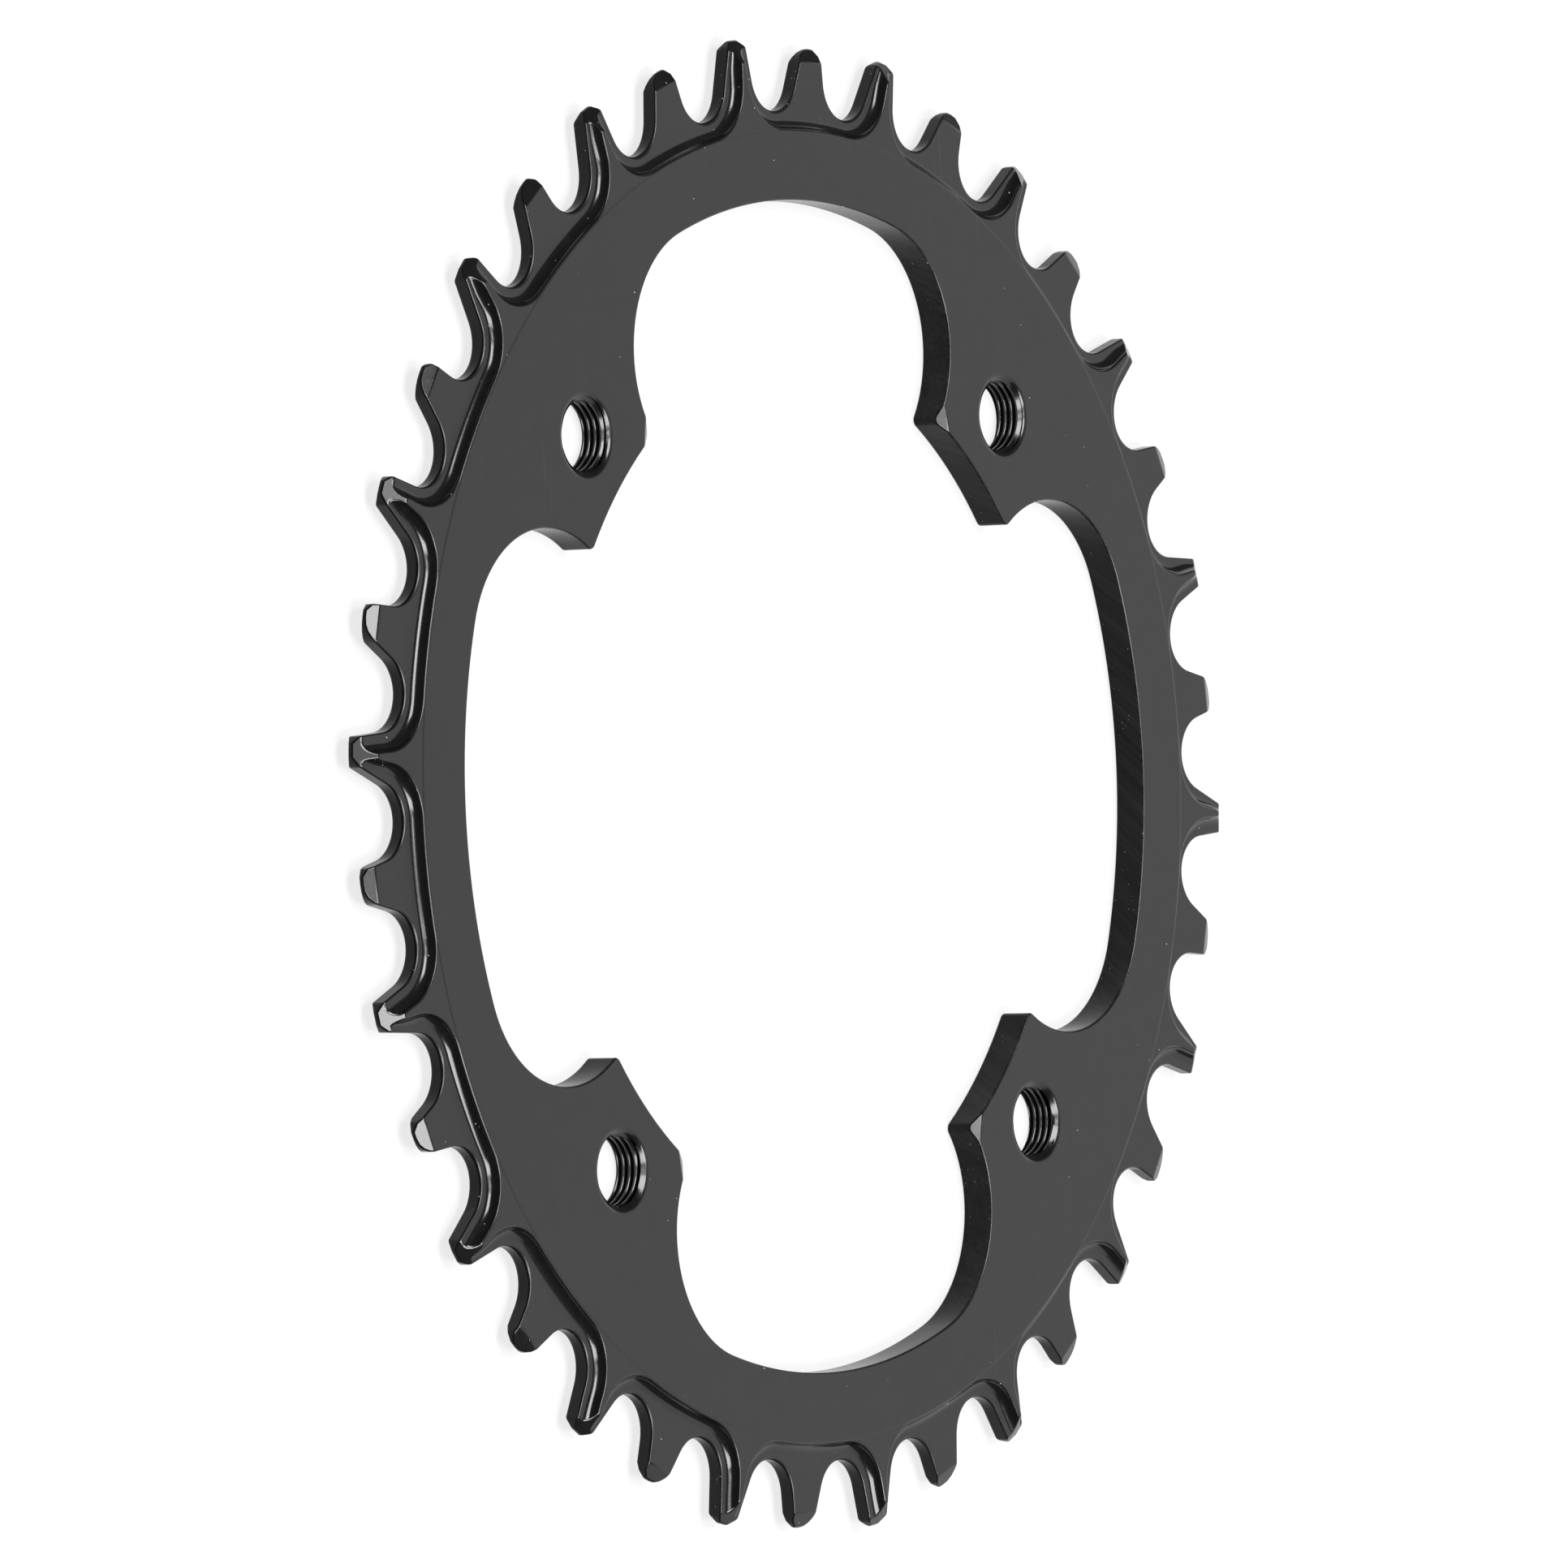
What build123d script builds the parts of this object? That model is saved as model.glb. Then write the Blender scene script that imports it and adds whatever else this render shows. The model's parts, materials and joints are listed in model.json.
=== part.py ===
from build123d import *
from math import acos, asin, atan2, cos, degrees, hypot, pi, radians, sin, tan
import os

# Narrow-wide bicycle chainring, in millimetres. It lies on its back face, with its axis on +Z and
# its outer face up. Angles are in degrees, counter-clockwise from +X as seen from the outer face.

# Chain and teeth
TOOTH_PAIRS = 18           # one narrow and one wide tooth each
CHAIN_PITCH = 12.7         # half-inch chain
SEAT_RADIUS = 3.93         # round seat of a chain roller
DRIVE_LEAN = 8.0           # flank that pushes the chain, from the tooth's own axis
RELIEF_LEAN = 19.0         # flank on the tooth's other side
WIDE_TIP_RISE = 3.55       # tip above the pitch circle
NARROW_TIP_RISE = 2.7
TIP_CORNER = 0.65          # flat across the corners of a tip
SHOULDER_RADIUS = 2.4      # round relief corner of a narrow tooth

# Section
PLATE_THICKNESS = 3.5
NARROW_THICKNESS = 1.6
RIB_WIDTH = 1.0            # full-thickness rib of a wide tooth, between the rounds of its pockets
RIB_LEAN = 6.0             # each side of the rib, from the tooth's own axis
WIDE_TIP_LAND = 0.4        # thickness left at a tip between its two bevels
WIDE_TIP_BEVEL = 2.35      # radial length of a tip bevel
NARROW_TIP_LAND = 0.36
NARROW_TIP_BEVEL = 1.5

# Rim, tabs and bolt holes
RIM_WIDTH = 9.14           # from the roller seats in to the window arcs
BOLT_CIRCLE = 104.0
BOLT_COUNT = 4
FIRST_BOLT_ANGLE = 45.0    # a narrow tooth stands on this line too
BOLT_HOLE = 7.2            # minor diameter of the M8 x 0.75 thread
COUNTERSINK = 0.8          # chamfer at the mouths of a bolt hole
TAB_REACH = 7.65           # from the bolt circle in to the tab's end
TAB_WIDTH = 16.0           # at its narrowest
SCALLOP_RADIUS = 12.9      # round corner between tab and rim
TAB_CORNER_RADIUS = 0.8
FACET_LENGTH = 1.6         # flat sloping down to a tab corner, from the sharp corner in
FACET_DEPTH = 0.85
FACET_STEP = 2             # every second window has those flats

MARGIN = 1.0               # how far a cutter stands clear of what it cuts

# Worked out from the sizes above
TOOTH_COUNT = 2 * TOOTH_PAIRS
TOOTH_STEP = 360 / TOOTH_COUNT
PITCH_RADIUS = CHAIN_PITCH / 2 / sin(pi / TOOTH_COUNT)
ROOT_RADIUS = PITCH_RADIUS - SEAT_RADIUS
WIDE_TIP_RADIUS = PITCH_RADIUS + WIDE_TIP_RISE
NARROW_TIP_RADIUS = PITCH_RADIUS + NARROW_TIP_RISE
POCKET_RADIUS = (CHAIN_PITCH - RIB_WIDTH) / 2
POCKET_FLOOR_RADIUS = PITCH_RADIUS - POCKET_RADIUS
WINDOW_RADIUS = ROOT_RADIUS - RIM_WIDTH
TAB_END_RADIUS = BOLT_CIRCLE / 2 - TAB_REACH
SCALLOP_CENTRE_RADIUS = WINDOW_RADIUS - SCALLOP_RADIUS
SCALLOP_ANGLE = degrees(asin((TAB_WIDTH / 2 + SCALLOP_RADIUS) / SCALLOP_CENTRE_RADIUS))
BOLT_STEP = 360 / BOLT_COUNT
FIRST_NARROW_ANGLE = FIRST_BOLT_ANGLE
FIRST_WIDE_ANGLE = FIRST_NARROW_ANGLE + TOOTH_STEP
FIRST_GAP_ANGLE = FIRST_NARROW_ANGLE + TOOTH_STEP / 2


def on_circle(radius, angle):
    """Point of the ring's plane at a radius and an angle."""
    return Vector(radius * cos(radians(angle)), radius * sin(radians(angle)))


def around(shape, first_angle, count):
    """Copies of a shape on +X, turned to evenly spaced angles."""
    step = 360 / count
    return [Rot(0, 0, first_angle + k * step) * shape for k in range(count)]


def pie(radius, half_angle):
    """Sector of a disc, from the axis out to a radius, centred on +X."""
    far = radius / cos(radians(half_angle)) + MARGIN
    wedge = make_face(Polyline((0, 0), on_circle(far, -half_angle), on_circle(far, half_angle), close=True))
    return wedge & Circle(radius)


def roller_gap(radius, drive_lean, relief_lean):
    """Gap between two teeth on +X: a round on the pitch circle with a straight flank to each side.

    The leans are measured from the axis of the tooth that the flank belongs to.
    """
    drive = drive_lean + TOOTH_STEP / 2
    relief = -(relief_lean + TOOTH_STEP / 2)
    centre = Vector(PITCH_RADIUS, 0)
    drive_foot = centre + on_circle(radius, drive + 90)
    relief_foot = centre + on_circle(radius, relief - 90)
    length = radius + WIDE_TIP_RISE + MARGIN
    drive_end = drive_foot + on_circle(length, drive)
    relief_end = relief_foot + on_circle(length, relief)
    flare = make_face(Polyline(drive_foot, drive_end, relief_end, relief_foot, close=True))
    return Pos(PITCH_RADIUS, 0) * Circle(radius) + flare


def tip_corners(outline, tip_radius, side):
    """Outline's corners at one tip radius, on the teeth's drive side (-1) or relief side (+1)."""
    corners = []
    for vertex in outline.vertices():
        offset = (degrees(atan2(vertex.Y, vertex.X)) - FIRST_GAP_ANGLE) % TOOTH_STEP - TOOTH_STEP / 2
        if abs(hypot(vertex.X, vertex.Y) - tip_radius) < 1e-4 and offset * side > 0:
            corners.append(vertex)
    return corners


def flank_reach(radius, lean):
    """Distance from a tooth's axis to one of its flanks at a radius."""
    foot = CHAIN_PITCH / 2 - SEAT_RADIUS * cos(radians(lean))
    foot_radius = PITCH_RADIUS * cos(pi / TOOTH_COUNT) - SEAT_RADIUS * sin(radians(lean))
    return foot - (radius - foot_radius) * tan(radians(lean))


def tooth_outline():
    """Full outline of the toothed ring, with the broken corners of its tips."""
    wide_blanks = around(pie(WIDE_TIP_RADIUS, TOOTH_STEP / 2), FIRST_WIDE_ANGLE, TOOTH_PAIRS)
    gap = roller_gap(SEAT_RADIUS, DRIVE_LEAN, RELIEF_LEAN)
    outline = Circle(NARROW_TIP_RADIUS) + wide_blanks - around(gap, FIRST_GAP_ANGLE, TOOTH_COUNT)
    wide_width = flank_reach(WIDE_TIP_RADIUS, DRIVE_LEAN) + flank_reach(WIDE_TIP_RADIUS, RELIEF_LEAN)
    narrow_width = flank_reach(NARROW_TIP_RADIUS, DRIVE_LEAN) + flank_reach(NARROW_TIP_RADIUS, RELIEF_LEAN)
    corner = min(TIP_CORNER, wide_width / 3, narrow_width / 3)
    shoulder = min(SHOULDER_RADIUS, narrow_width)
    outline = chamfer(tip_corners(outline, WIDE_TIP_RADIUS, -1), corner)
    outline = chamfer(tip_corners(outline, WIDE_TIP_RADIUS, 1), corner)
    outline = chamfer(tip_corners(outline, NARROW_TIP_RADIUS, -1), corner)
    return fillet(tip_corners(outline, NARROW_TIP_RADIUS, 1), shoulder)


def plate_outline():
    """Outline at full thickness: the rim and the ribs that the pockets leave of the wide teeth.

    A rib ends inside its tooth, past the line where the tip's bevel leaves the rib.
    """
    pocket_depth = (PLATE_THICKNESS - NARROW_THICKNESS) / 2
    bevel_depth = (PLATE_THICKNESS - WIDE_TIP_LAND) / 2
    land_length = WIDE_TIP_BEVEL * (1 - pocket_depth / bevel_depth)
    blank = Circle(WIDE_TIP_RADIUS - land_length / 2)
    pocket = pie(WIDE_TIP_RADIUS + MARGIN, TOOTH_STEP / 2) - Circle(POCKET_FLOOR_RADIUS)
    flank = roller_gap(POCKET_RADIUS, RIB_LEAN, RIB_LEAN)
    return blank - around(pocket, FIRST_NARROW_ANGLE, TOOTH_PAIRS) - around(flank, FIRST_GAP_ANGLE, TOOTH_COUNT)


def opening_outline():
    """The middle opening: a round with a window between each two tabs."""
    outline = Circle(TAB_END_RADIUS)
    window = pie(WINDOW_RADIUS, BOLT_STEP / 2 - SCALLOP_ANGLE)
    scallop = Pos(SCALLOP_CENTRE_RADIUS, 0) * Circle(SCALLOP_RADIUS)
    outline += around(window, FIRST_BOLT_ANGLE + BOLT_STEP / 2, BOLT_COUNT)
    outline += around(scallop, FIRST_BOLT_ANGLE + SCALLOP_ANGLE, BOLT_COUNT)
    outline += around(scallop, FIRST_BOLT_ANGLE - SCALLOP_ANGLE, BOLT_COUNT)
    corners = [v for v in outline.vertices() if abs(hypot(v.X, v.Y) - TAB_END_RADIUS) < 1e-4]
    return fillet(corners, TAB_CORNER_RADIUS)


def plate():
    """Full-thickness plate with its opening."""
    return extrude(plate_outline() - opening_outline(), PLATE_THICKNESS)


def teeth():
    """Toothed ring at the narrow teeth's thickness, half-way up the plate."""
    inner_radius = (WINDOW_RADIUS + POCKET_FLOOR_RADIUS) / 2
    ring = extrude(tooth_outline() - Circle(inner_radius), NARROW_THICKNESS)
    return Pos(0, 0, (PLATE_THICKNESS - NARROW_THICKNESS) / 2) * ring


def tip_bevels(tip_radius, thickness, land, length):
    """Cutters for the two bevels of a tooth's tip on +X, above and below a tooth of some thickness."""
    slope = (thickness - land) / 2 / length
    top = (PLATE_THICKNESS + thickness) / 2
    inner = (tip_radius - length - MARGIN / slope, top + MARGIN)
    outer = (tip_radius + MARGIN, top - (length + MARGIN) * slope)
    corner = (tip_radius + MARGIN, top + MARGIN)
    section = make_face(Plane.XZ * Polyline(inner, outer, corner, close=True))
    half_width = CHAIN_PITCH / 2 - SEAT_RADIUS + MARGIN
    upper = extrude(section, half_width, both=True)
    return upper + mirror(upper, Plane.XY.offset(PLATE_THICKNESS / 2))


def bolt_hole():
    """Cutter for a bolt hole on +X with the chamfers at its mouths."""
    radius = BOLT_HOLE / 2
    mouth = radius + COUNTERSINK
    half = PLATE_THICKNESS / 2
    hole = Cylinder(radius, PLATE_THICKNESS + 2 * MARGIN)
    cone = Cone(radius, mouth + MARGIN, COUNTERSINK + MARGIN)
    upper = Pos(0, 0, half - COUNTERSINK + (COUNTERSINK + MARGIN) / 2) * cone
    return Pos(BOLT_CIRCLE / 2, 0, half) * (hole + upper + mirror(upper, Plane.XY))


def corner_facets():
    """Cutters for the flats on the two tab corners that meet the window on +X."""
    reach = TAB_END_RADIUS**2 + SCALLOP_CENTRE_RADIUS**2 - SCALLOP_RADIUS**2
    scallop_to_corner = degrees(acos(reach / (2 * TAB_END_RADIUS * SCALLOP_CENTRE_RADIUS)))
    scallop_angle = BOLT_STEP / 2 - SCALLOP_ANGLE
    corner_angle = scallop_angle + scallop_to_corner
    corner = on_circle(TAB_END_RADIUS, corner_angle)
    scallop_normal = (corner - on_circle(SCALLOP_CENTRE_RADIUS, scallop_angle)).normalized()
    along_side = scallop_normal.rotate(Axis.Z, -90)
    along_end = on_circle(1, corner_angle + 90)
    inward = (along_side + along_end).normalized()
    slope = FACET_DEPTH / FACET_LENGTH
    low = (-MARGIN, -FACET_DEPTH - MARGIN * slope)
    high = (FACET_LENGTH + MARGIN / slope, MARGIN)
    section = make_face(Polyline(low, high, (-MARGIN, MARGIN), close=True))
    across = inward.cross(Vector(0, 0, 1))
    plane = Plane(origin=corner + Vector(0, 0, PLATE_THICKNESS), x_dir=inward, z_dir=across)
    facet = extrude(plane * section, 2 * FACET_LENGTH, both=True)
    return facet + mirror(facet, Plane.XZ)


chainring = plate() + teeth()
wide_tip = tip_bevels(WIDE_TIP_RADIUS, PLATE_THICKNESS, WIDE_TIP_LAND, WIDE_TIP_BEVEL)
narrow_tip = tip_bevels(NARROW_TIP_RADIUS, NARROW_THICKNESS, NARROW_TIP_LAND, NARROW_TIP_BEVEL)
chainring -= around(wide_tip, FIRST_WIDE_ANGLE, TOOTH_PAIRS)
chainring -= around(narrow_tip, FIRST_NARROW_ANGLE, TOOTH_PAIRS)
chainring -= around(bolt_hole(), FIRST_BOLT_ANGLE, BOLT_COUNT)
chainring -= around(corner_facets(), FIRST_BOLT_ANGLE + BOLT_STEP / 2, BOLT_COUNT // FACET_STEP)
chainring.label = "chainring"

os.makedirs("parts", exist_ok=True)
export_step(chainring, "parts/chainring.step")
print("outer diameter", 2 * WIDE_TIP_RADIUS, "volume", chainring.volume)
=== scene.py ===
"""Looks of a bicycle chainring whose narrow and wide teeth take turns.

The ring is modelled again at its real sizes, with rounded edges, bevelled tooth tips and tapped bolt
holes. It gets a black anodised finish and lies on a pale floor under soft studio light.
"""

from __future__ import annotations

import json
import logging
from collections.abc import Iterable
from dataclasses import dataclass, field
from enum import Enum, IntEnum
from itertools import pairwise
from math import acos, asin, ceil, cos, degrees, pi, radians, sin, tan
from typing import Any

import bmesh
import bpy
from bmesh.types import BMEdge, BMesh, BMFace, BMVert
from bpy.types import Material, Node, NodeSocket, NodeTree, Object
from mathutils import Matrix, Vector

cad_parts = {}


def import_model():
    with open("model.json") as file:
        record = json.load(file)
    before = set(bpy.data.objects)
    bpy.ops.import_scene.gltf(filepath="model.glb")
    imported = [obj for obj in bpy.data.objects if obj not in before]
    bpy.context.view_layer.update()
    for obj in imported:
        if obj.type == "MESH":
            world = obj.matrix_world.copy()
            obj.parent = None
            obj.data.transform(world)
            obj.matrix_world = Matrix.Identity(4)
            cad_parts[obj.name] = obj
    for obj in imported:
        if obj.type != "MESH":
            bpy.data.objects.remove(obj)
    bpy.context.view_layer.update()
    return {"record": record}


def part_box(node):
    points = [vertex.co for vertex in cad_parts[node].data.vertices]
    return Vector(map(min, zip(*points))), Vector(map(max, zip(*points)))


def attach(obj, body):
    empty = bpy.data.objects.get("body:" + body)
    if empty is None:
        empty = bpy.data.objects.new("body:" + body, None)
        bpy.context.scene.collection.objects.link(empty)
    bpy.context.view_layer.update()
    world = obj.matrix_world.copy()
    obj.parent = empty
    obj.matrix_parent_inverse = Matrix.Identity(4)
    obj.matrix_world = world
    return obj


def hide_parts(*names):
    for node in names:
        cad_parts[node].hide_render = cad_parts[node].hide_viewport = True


log = logging.getLogger("chainring")

MM = 0.001
NODE = "chainring"
BODY = "root"
ROUND_MARK = "bevel_weight_edge"
WIDEST_ROUND = 0.4
UP = Vector((0, 0, 1))
JOIN = 0.002
CUT = 0.0001


class Surface(IntEnum):
    """Finish of a face of the ring, which is also its place among the ring's materials."""

    FACE = 0
    COVE = 1
    TOOTH_WALL = 2
    WINDOW_WALL = 3
    TIP = 4
    THREAD = 5


class Flank(Enum):
    """Side of a tooth, as the turn from the tooth's axis to that side."""

    DRIVE = -1
    RELIEF = 1


def polar(radius: float, angle: float, height: float = 0.0) -> Vector:
    """Point at a radius from the ring's axis.

    Args:
        radius: Distance from the axis.
        angle: Angle from +X in degrees.
        height: Height above the ring's middle plane.

    Returns:
        The point.
    """
    return Vector((radius * cos(radians(angle)), radius * sin(radians(angle)), height))


def heading(start: Vector, end: Vector) -> float:
    """Direction from one point to another in plan.

    Args:
        start: Where the direction starts.
        end: Where it points.

    Returns:
        Angle from +X in degrees.
    """
    return -degrees(Vector((1, 0)).angle_signed((end - start).to_2d(), 0))


class Outline:
    """Chain of edges drawn in plan with straight lines and arcs."""

    def __init__(self, mesh: BMesh, start: Vector) -> None:
        """Starts the chain.

        Args:
            mesh: Mesh that gets the edges.
            start: First point.
        """
        self.mesh = mesh
        self.first: BMVert = bmesh.ops.create_vert(mesh, co=start)["vert"][0]
        self.last = self.first
        self.edges: list[BMEdge] = []

    def line(self, end: Vector) -> Outline:
        """Draws a straight line.

        Args:
            end: Point that the line ends on.

        Returns:
            The outline, to go on drawing.
        """
        made = bmesh.ops.extrude_vert_indiv(self.mesh, verts=[self.last])
        self.last = made["verts"][0]
        self.edges += made["edges"]
        bmesh.ops.translate(self.mesh, verts=[self.last], vec=end - self.last.co)
        return self

    def arc(self, centre: Vector, turn: float, step: float) -> Outline:
        """Draws an arc about a centre.

        Args:
            centre: Centre of the arc in plan.
            turn: Angle that the arc turns through in degrees, positive counter-clockwise.
            step: Largest angle of one edge in degrees.

        Returns:
            The outline, to go on drawing.
        """
        known = set(self.mesh.edges)
        steps = max(1, ceil(abs(turn) / step - CUT))
        made = bmesh.ops.spin(
            self.mesh, geom=[self.last], cent=centre, axis=UP, angle=radians(turn), steps=steps
        )
        self.last = made["geom_last"][0]
        self.edges += [edge for edge in self.mesh.edges if edge not in known]
        return self


def link(mesh: BMesh, start: BMVert, end: BMVert) -> BMEdge:
    """Joins two vertices with an edge.

    Args:
        mesh: Mesh that holds both.
        start: One vertex.
        end: The other.

    Returns:
        The new edge.
    """
    return bmesh.ops.contextual_create(mesh, geom=[start, end])["edges"][0]


def fill(
    mesh: BMesh, edges: Iterable[BMEdge], surface: Surface
) -> list[BMFace]:
    """Closes a flat loop of edges with one face.

    Args:
        mesh: Mesh that holds the loop.
        edges: Edges of the loop.
        surface: Finish of the face.

    Returns:
        The new face, in a list.
    """
    faces = bmesh.ops.contextual_create(mesh, geom=list(edges))["faces"]
    for face in faces:
        face.material_index = surface
    return faces


def drop(
    mesh: BMesh, edges: list[BMEdge], depth: float, surface: Surface
) -> list[BMEdge]:
    """Pulls a wall straight down from a chain of edges.

    Args:
        mesh: Mesh that holds the chain.
        edges: Top edges of the wall.
        depth: Height of the wall.
        surface: Finish of the wall.

    Returns:
        Bottom edges of the wall.
    """
    made = bmesh.ops.extrude_edge_only(mesh, edges=edges)["geom"]
    verts = [item for item in made if isinstance(item, BMVert)]
    for face in (item for item in made if isinstance(item, BMFace)):
        face.material_index = surface
    bmesh.ops.translate(mesh, verts=verts, vec=-depth * UP)
    moved = set(verts)
    edges = [item for item in made if isinstance(item, BMEdge)]
    return [edge for edge in edges if edge.verts[0] in moved and edge.verts[1] in moved]


def start_mesh() -> BMesh:
    """Starts a mesh whose edges can be marked for rounding.

    Returns:
        The empty mesh.
    """
    mesh = bmesh.new()
    mesh.edges.layers.float.new(ROUND_MARK)
    return mesh


def mark(mesh: BMesh, edges: Iterable[BMEdge], radius: float) -> None:
    """Marks edges with the radius that they are rounded to.

    Args:
        mesh: Mesh that holds the edges.
        edges: Edges to mark.
        radius: Radius on a square corner.
    """
    layer = mesh.edges.layers.float[ROUND_MARK]
    for edge in edges:
        edge[layer] = radius / WIDEST_ROUND


def bridge(mesh: BMesh, upper: Outline, lower: Outline, surface: Surface) -> None:
    """Joins two outlines with a strip of faces.

    Args:
        mesh: Mesh that holds both.
        upper: One outline.
        lower: The other.
        surface: Finish of the strip.
    """
    for face in bmesh.ops.bridge_loops(mesh, edges=[*upper.edges, *lower.edges])["faces"]:
        face.material_index = surface


def middle(edge: BMEdge) -> Vector:
    """Middle point of an edge."""
    return (edge.verts[0].co + edge.verts[1].co) / 2


def slice_off(
    mesh: BMesh, faces: Iterable[BMFace], point: Vector, normal: Vector, surface: Surface
) -> list[BMFace]:
    """Cuts away what stands beyond a plane and closes the cut.

    Args:
        mesh: Mesh that is cut.
        faces: Faces that the cut may touch.
        point: Point of the plane.
        normal: Direction of the side that is cut away.
        surface: Finish of the new face.

    Returns:
        The new face, in a list.
    """
    chosen = list(faces)
    edges = dict.fromkeys(edge for face in chosen for edge in face.edges)
    verts = dict.fromkeys(vert for face in chosen for vert in face.verts)
    cut = bmesh.ops.bisect_plane(
        mesh, geom=[*verts, *edges, *chosen], dist=CUT, plane_co=point, plane_no=normal, clear_outer=True
    )
    return fill(mesh, [item for item in cut["geom_cut"] if isinstance(item, BMEdge)], surface)


@dataclass
class Tooth:
    """Sector of the ring that holds one tooth, from the middle of one roller gap to the middle of the next.

    Lengths are in millimetres and angles in degrees. The tooth stands on +X, and only the half above the
    middle plane is built. Its edges are left square and marked with the radius that they are rounded to.
    """

    thickness: float
    seam_radius: float
    tooth_count: int = 36
    chain_pitch: float = 12.7
    seat_radius: float = 3.93
    leans: dict[Flank, float] = field(default_factory=lambda: {Flank.DRIVE: 8.0, Flank.RELIEF: 19.0})
    narrow_thickness: float = 1.6
    rib_width: float = 1.0
    cove_radius: float = 1.2
    cove_steps: int = 6
    cove_growth: float = 1.3
    tip_rise: float = 2.7
    tip_land: float = 0.36
    tip_bevel: float = 1.5
    tip_corner: float = 0.65
    top_round: float = 0.18
    root_round: float = 0.42
    tip_round: float = 0.18
    corner_round: float = 0.24
    slope_radius: float = 0.8
    slope_steps: int = 3
    corner_angle: float = 25.0
    arc_step: float = 6.0
    rim_step: float = 1.0

    @property
    def step(self) -> float:
        """Angle of the sector."""
        return 360 / self.tooth_count

    @property
    def pitch_radius(self) -> float:
        """Radius of the circle on which the chain's rollers lie."""
        return self.chain_pitch / 2 / sin(pi / self.tooth_count)

    @property
    def pocket_radius(self) -> float:
        """Radius of a pocket's wall round a roller, at the ring's face."""
        return (self.chain_pitch - self.rib_width) / 2

    @property
    def tip_radius(self) -> float:
        """Radius of the tooth's end."""
        return self.pitch_radius + self.tip_rise

    @property
    def top(self) -> float:
        """Height of the ring's face."""
        return self.thickness / 2

    @property
    def shelf(self) -> float:
        """Height of the narrow level."""
        return self.narrow_thickness / 2

    @property
    def tooth_top(self) -> float:
        """Height from which the slope at the tooth's end starts."""
        return self.shelf

    def cove_levels(self) -> list[tuple[float, float]]:
        """Places on the hollow wall of a pocket, from the ring's face down to the narrow level.

        Returns:
            Distance from the wall's upper edge in plan, and height, of each place.
        """
        steep = acos(1 - (self.top - self.shelf) / self.cove_radius)
        shares = (1 - step / self.cove_steps for step in range(self.cove_steps + 1))
        slopes = [steep * share**self.cove_growth for share in shares]
        return [
            (self.cove_radius * (sin(steep) - sin(slope)), self.shelf + self.cove_radius * (1 - cos(slope)))
            for slope in slopes
        ]

    def roller(self, flank: Flank) -> Vector:
        """Middle of the roller gap on one side of the tooth."""
        return polar(self.pitch_radius, flank.value * self.step / 2)

    def foot_turn(self, flank: Flank, lean: float) -> float:
        """Angle of a round about a roller, from the gap's middle to the tooth's straight flank.

        Args:
            flank: Side of the tooth.
            lean: Lean of the flank to the tooth's axis.

        Returns:
            Signed angle in degrees.
        """
        return flank.value * (90 - self.step / 2 - lean)

    def foot_reach(self, flank: Flank, radius: float, lean: float) -> float:
        """Distance along the tooth at which a straight flank leaves its round."""
        return self.roller(flank).x - radius * sin(radians(lean))

    def half_width(self, flank: Flank, radius: float, lean: float, reach: float) -> float:
        """Distance of a straight flank from the tooth's axis.

        Args:
            flank: Side of the tooth.
            radius: Radius of the round that the flank leaves.
            lean: Lean of the flank to the tooth's axis.
            reach: Distance along the tooth.

        Returns:
            The distance.
        """
        foot = abs(self.roller(flank).y) - radius * cos(radians(lean))
        return foot - (reach - self.foot_reach(flank, radius, lean)) * tan(radians(lean))

    def tooth_flank(self, flank: Flank, reach: float) -> Vector:
        """Point of the tooth's flank at a distance along the tooth."""
        side = self.half_width(flank, self.seat_radius, self.leans[flank], reach)
        return Vector((reach, flank.value * side, self.shelf))

    def draw_rim(self, mesh: BMesh, offset: float, height: float) -> Outline:
        """Draws one level of the pockets' wall, from the drive gap to the relief gap."""
        raise NotImplementedError

    def draw_tip(self, outline: Outline) -> None:
        """Draws the tooth's end, from the drive flank to the relief flank."""
        raise NotImplementedError

    def draw_tooth(self, mesh: BMesh) -> Outline:
        """Draws the tooth's own outline at the narrow level.

        Args:
            mesh: Mesh that gets the outline.

        Returns:
            The outline, from the drive gap to the relief gap.
        """
        root = self.pitch_radius - self.seat_radius
        outline = Outline(mesh, polar(root, Flank.DRIVE.value * self.step / 2, self.shelf))
        drive = self.foot_turn(Flank.DRIVE, self.leans[Flank.DRIVE])
        outline.arc(self.roller(Flank.DRIVE), drive, self.arc_step)
        self.draw_tip(outline)
        lean = self.leans[Flank.RELIEF]
        outline.line(self.tooth_flank(Flank.RELIEF, self.foot_reach(Flank.RELIEF, self.seat_radius, lean)))
        return outline.arc(self.roller(Flank.RELIEF), -self.foot_turn(Flank.RELIEF, lean), self.arc_step)

    def mark_tooth(self, mesh: BMesh, edges: Iterable[BMEdge]) -> None:
        """Marks the tooth's own outline, with a rounder edge in the gaps than at the tip.

        Args:
            mesh: Mesh of the sector.
            edges: Edges of the outline.
        """
        for edge in edges:
            spot = middle(edge).to_2d()
            flank = Flank.RELIEF if spot.y > 0 else Flank.DRIVE
            centre = self.roller(flank).to_2d()
            turned = degrees((spot - centre).angle(-centre))
            share = min(1.0, turned / abs(self.foot_turn(flank, self.leans[flank])))
            share *= share * (3 - 2 * share)
            mark(mesh, [edge], self.root_round + share * (self.tip_round - self.root_round))

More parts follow.
